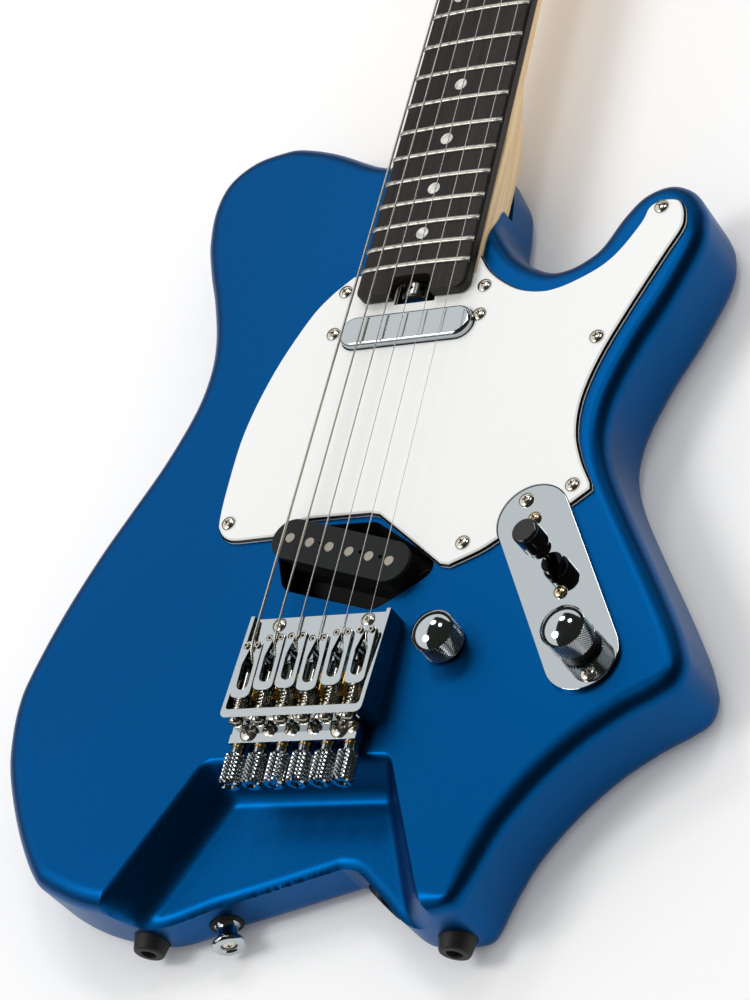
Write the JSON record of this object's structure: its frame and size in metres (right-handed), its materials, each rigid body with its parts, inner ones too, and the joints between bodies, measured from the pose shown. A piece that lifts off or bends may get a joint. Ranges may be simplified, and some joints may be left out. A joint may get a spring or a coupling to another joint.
{
  "type": "headless electric guitar",
  "caption": "Headless bolt-on-neck electric guitar with a cutaway body, two pickups, string-through bridge saddles, tail tuners, selector switch and control knobs",
  "frame": {"origin": "On the flat back, on the centreline, under the nominal bridge line from which the scale length is measured", "axes": "+X to the treble side, +Y along the neck to the nut, +Z out of the face"},
  "size_m": [0.3195, 0.8044, 0.0636],
  "materials": {
    "blue_lacquer": "satin metallic blue lacquer over wood",
    "maple": "satin varnished maple",
    "rosewood": "oiled dark rosewood with nickel silver frets",
    "nut_black": "matte black synthetic bone",
    "black_metal": "satin black painted zinc",
    "white_plastic": "white three-ply sheet plastic",
    "chrome": "bright chrome plate",
    "steel": "plain steel",
    "nickel": "nickel plated steel",
    "brass": "plain brass",
    "black_plastic": "black moulded plastic",
    "black_rubber": "black rubber"
  },
  "bodies": {
    "guitar": {"body": "blue_lacquer", "neck": "maple", "fingerboard": "rosewood", "nut": "nut_black", "headpiece": "black_metal", "pickguard": "white_plastic", "neck_pickup_cover": "chrome", "bridge_frame": "chrome", "tuner_block": "chrome", "control_plate": "chrome", "output_jack": "chrome", "neck_plate": "chrome", "strap_button_tail": "chrome", "strap_button_horn": "chrome", "truss_rod": "steel", "bridge_pickup_base": "steel", "volume_pot": "steel", "tone_pot": "steel", "string_4": "steel", "string_5": "steel", "string_6": "steel", "string_1": "nickel", "string_2": "nickel", "string_3": "nickel", "neck_pickup_coil": "black_plastic", "bridge_pickup_bobbin": "black_plastic", "switch_body": "black_plastic", "back_cover": "black_plastic", "jack_plate": "black_plastic", "foot_bass": "black_rubber", "foot_treble": "black_rubber"},
    "volume_knob": {"volume_knob": "chrome"},
    "tone_knob": {"tone_knob": "chrome"},
    "pickup_switch": {"switch_lever": "steel", "switch_tip": "black_plastic"},
    "truss_rod_wheel": {"truss_rod_wheel": "nickel"},
    "saddle_1": {"saddle_1": "chrome"},
    "intonation_screw_1": {"intonation_screw_1": "steel"},
    "tuner_knob_1": {"tuner_knob_1": "chrome"},
    "string_puller_1": {"string_puller_1": "brass"},
    "saddle_2": {"saddle_2": "chrome"},
    "intonation_screw_2": {"intonation_screw_2": "steel"},
    "tuner_knob_2": {"tuner_knob_2": "chrome"},
    "string_puller_2": {"string_puller_2": "brass"},
    "saddle_3": {"saddle_3": "chrome"},
    "intonation_screw_3": {"intonation_screw_3": "steel"},
    "tuner_knob_3": {"tuner_knob_3": "chrome"},
    "string_puller_3": {"string_puller_3": "brass"},
    "saddle_4": {"saddle_4": "chrome"},
    "intonation_screw_4": {"intonation_screw_4": "steel"},
    "tuner_knob_4": {"tuner_knob_4": "chrome"},
    "string_puller_4": {"string_puller_4": "brass"},
    "saddle_5": {"saddle_5": "chrome"},
    "intonation_screw_5": {"intonation_screw_5": "steel"},
    "tuner_knob_5": {"tuner_knob_5": "chrome"},
    "string_puller_5": {"string_puller_5": "brass"},
    "saddle_6": {"saddle_6": "chrome"},
    "intonation_screw_6": {"intonation_screw_6": "steel"},
    "tuner_knob_6": {"tuner_knob_6": "chrome"},
    "string_puller_6": {"string_puller_6": "brass"}
  },
  "joints": [
    {"name": "volume_turn", "type": "hinge", "parent": "guitar", "child": "volume_knob", "pos_m": [0.11722, -0.00958, 0.0467], "axis": [0, 0, 1], "range_deg": [-150, 150]},
    {"name": "tone_turn", "type": "hinge", "parent": "guitar", "child": "tone_knob", "pos_m": [0.0555, -0.0052, 0.0423], "axis": [0, 0, 1], "range_deg": [-150, 150]},
    {"name": "switch_throw", "type": "hinge", "parent": "guitar", "child": "pickup_switch", "pos_m": [0.09427, 0.03201, 0.0335], "axis": [0.8755, 0.4833, 0], "range_deg": [-14, 14]},
    {"name": "truss_rod_turn", "type": "hinge", "parent": "guitar", "child": "truss_rod_wheel", "pos_m": [-0.001, 0.1681, 0.0411], "axis": [0, 1, 0], "range_deg": [-360, 360]},
    {"name": "tuner_turn_1", "type": "hinge", "parent": "guitar", "child": "tuner_knob_1", "pos_m": [-0.02765, -0.0505, 0.0461], "axis": [0, 1, 0], "range_deg": [-2060, 2060]},
    {"name": "string_pull_1", "type": "slide", "parent": "guitar", "child": "string_puller_1", "axis": [0, 1, 0], "range_m": [-0.004, 0.004], "deforming": ["string_1"]},
    {"name": "intonation_turn_1", "type": "hinge", "parent": "guitar", "child": "intonation_screw_1", "pos_m": [-0.02765, -0.0449, 0.0527], "axis": [0, 1, 0], "range_deg": [-2161, 2161]},
    {"name": "saddle_slide_1", "type": "slide", "parent": "guitar", "child": "saddle_1", "axis": [0, 1, 0], "range_m": [-0.003, 0.003], "deforming": ["string_1"]},
    {"name": "tuner_turn_2", "type": "hinge", "parent": "guitar", "child": "tuner_knob_2", "pos_m": [-0.01695, -0.0505, 0.0461], "axis": [0, 1, 0], "range_deg": [-2060, 2060]},
    {"name": "string_pull_2", "type": "slide", "parent": "guitar", "child": "string_puller_2", "axis": [0, 1, 0], "range_m": [-0.004, 0.004], "deforming": ["string_2"]},
    {"name": "intonation_turn_2", "type": "hinge", "parent": "guitar", "child": "intonation_screw_2", "pos_m": [-0.01695, -0.0449, 0.0527], "axis": [0, 1, 0], "range_deg": [-2161, 2161]},
    {"name": "saddle_slide_2", "type": "slide", "parent": "guitar", "child": "saddle_2", "axis": [0, 1, 0], "range_m": [-0.003, 0.003], "deforming": ["string_2"]},
    {"name": "tuner_turn_3", "type": "hinge", "parent": "guitar", "child": "tuner_knob_3", "pos_m": [-0.00625, -0.0505, 0.0461], "axis": [0, 1, 0], "range_deg": [-2060, 2060]},
    {"name": "string_pull_3", "type": "slide", "parent": "guitar", "child": "string_puller_3", "axis": [0, 1, 0], "range_m": [-0.004, 0.004], "deforming": ["string_3"]},
    {"name": "intonation_turn_3", "type": "hinge", "parent": "guitar", "child": "intonation_screw_3", "pos_m": [-0.00625, -0.0449, 0.0527], "axis": [0, 1, 0], "range_deg": [-2161, 2161]},
    {"name": "saddle_slide_3", "type": "slide", "parent": "guitar", "child": "saddle_3", "axis": [0, 1, 0], "range_m": [-0.003, 0.003], "deforming": ["string_3"]},
    {"name": "tuner_turn_4", "type": "hinge", "parent": "guitar", "child": "tuner_knob_4", "pos_m": [0.00445, -0.0505, 0.0461], "axis": [0, 1, 0], "range_deg": [-2060, 2060]},
    {"name": "string_pull_4", "type": "slide", "parent": "guitar", "child": "string_puller_4", "axis": [0, 1, 0], "range_m": [-0.004, 0.004], "deforming": ["string_4"]},
    {"name": "intonation_turn_4", "type": "hinge", "parent": "guitar", "child": "intonation_screw_4", "pos_m": [0.00445, -0.0449, 0.0527], "axis": [0, 1, 0], "range_deg": [-2161, 2161]},
    {"name": "saddle_slide_4", "type": "slide", "parent": "guitar", "child": "saddle_4", "axis": [0, 1, 0], "range_m": [-0.003, 0.003], "deforming": ["string_4"]},
    {"name": "tuner_turn_5", "type": "hinge", "parent": "guitar", "child": "tuner_knob_5", "pos_m": [0.01515, -0.0505, 0.0461], "axis": [0, 1, 0], "range_deg": [-2060, 2060]},
    {"name": "string_pull_5", "type": "slide", "parent": "guitar", "child": "string_puller_5", "axis": [0, 1, 0], "range_m": [-0.004, 0.004], "deforming": ["string_5"]},
    {"name": "intonation_turn_5", "type": "hinge", "parent": "guitar", "child": "intonation_screw_5", "pos_m": [0.01515, -0.0449, 0.0527], "axis": [0, 1, 0], "range_deg": [-2161, 2161]},
    {"name": "saddle_slide_5", "type": "slide", "parent": "guitar", "child": "saddle_5", "axis": [0, 1, 0], "range_m": [-0.003, 0.003], "deforming": ["string_5"]},
    {"name": "tuner_turn_6", "type": "hinge", "parent": "guitar", "child": "tuner_knob_6", "pos_m": [0.02585, -0.0505, 0.0461], "axis": [0, 1, 0], "range_deg": [-2060, 2060]},
    {"name": "string_pull_6", "type": "slide", "parent": "guitar", "child": "string_puller_6", "axis": [0, 1, 0], "range_m": [-0.004, 0.004], "deforming": ["string_6"]},
    {"name": "intonation_turn_6", "type": "hinge", "parent": "guitar", "child": "intonation_screw_6", "pos_m": [0.02585, -0.0449, 0.0527], "axis": [0, 1, 0], "range_deg": [-2161, 2161]},
    {"name": "saddle_slide_6", "type": "slide", "parent": "guitar", "child": "saddle_6", "axis": [0, 1, 0], "range_m": [-0.003, 0.003], "deforming": ["string_6"]}
  ],
  "couplings": [
    {"joint": "tuner_turn_1", "follows": "string_pull_1", "rad_per_m": -8976},
    {"joint": "intonation_turn_1", "follows": "saddle_slide_1", "rad_per_m": -12566},
    {"joint": "tuner_turn_2", "follows": "string_pull_2", "rad_per_m": -8976},
    {"joint": "intonation_turn_2", "follows": "saddle_slide_2", "rad_per_m": -12566},
    {"joint": "tuner_turn_3", "follows": "string_pull_3", "rad_per_m": -8976},
    {"joint": "intonation_turn_3", "follows": "saddle_slide_3", "rad_per_m": -12566},
    {"joint": "tuner_turn_4", "follows": "string_pull_4", "rad_per_m": -8976},
    {"joint": "intonation_turn_4", "follows": "saddle_slide_4", "rad_per_m": -12566},
    {"joint": "tuner_turn_5", "follows": "string_pull_5", "rad_per_m": -8976},
    {"joint": "intonation_turn_5", "follows": "saddle_slide_5", "rad_per_m": -12566},
    {"joint": "tuner_turn_6", "follows": "string_pull_6", "rad_per_m": -8976},
    {"joint": "intonation_turn_6", "follows": "saddle_slide_6", "rad_per_m": -12566}
  ]
}
